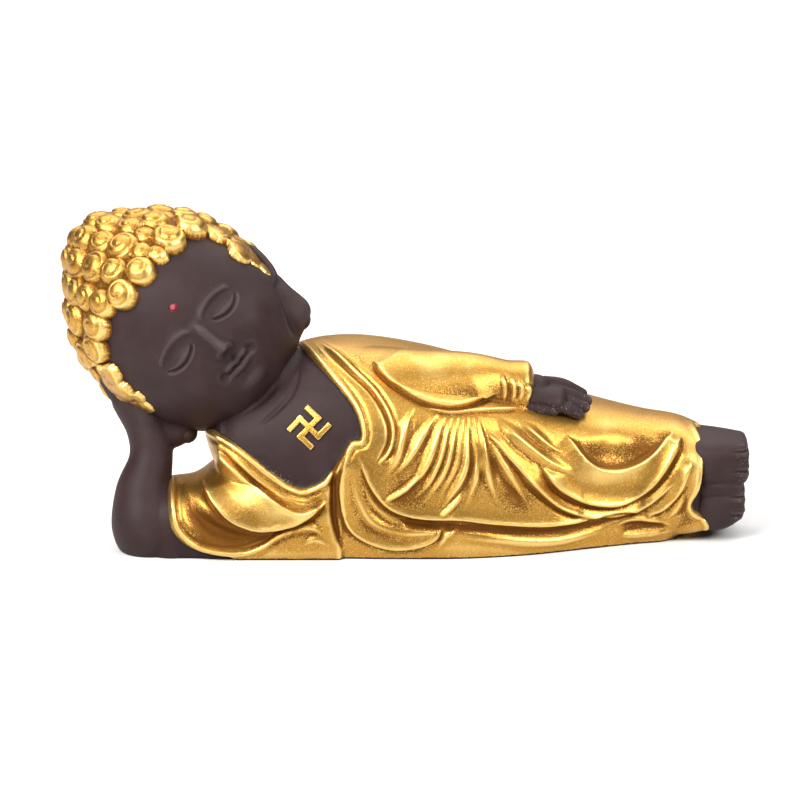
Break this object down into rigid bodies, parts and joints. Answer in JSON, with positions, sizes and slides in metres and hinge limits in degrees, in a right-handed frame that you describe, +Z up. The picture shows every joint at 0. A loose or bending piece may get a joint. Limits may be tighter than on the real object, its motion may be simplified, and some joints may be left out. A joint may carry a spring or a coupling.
{
  "type": "reclining baby buddha figurine",
  "caption": "Baby buddha figurine lying on its right side, head propped on one hand, in a draped golden robe with curled golden hair and dark skin.",
  "frame": {"origin": "under the middle of the figure's box, on the surface it lies on", "axes": "+X from the head to the feet, -Y the way the face and chest look, +Z up"},
  "size_m": [0.175, 0.0582, 0.0836],
  "materials": {
    "gold_paint": "metallic flake gold paint over cast resin, satin",
    "dark_paint": "matte dark brown paint over cast resin",
    "red_glass": "polished red glass stone"
  },
  "bodies": {
    "root": {"figurine": "gold_paint", "forehead_gem": "red_glass"}
  },
  "joints": []
}
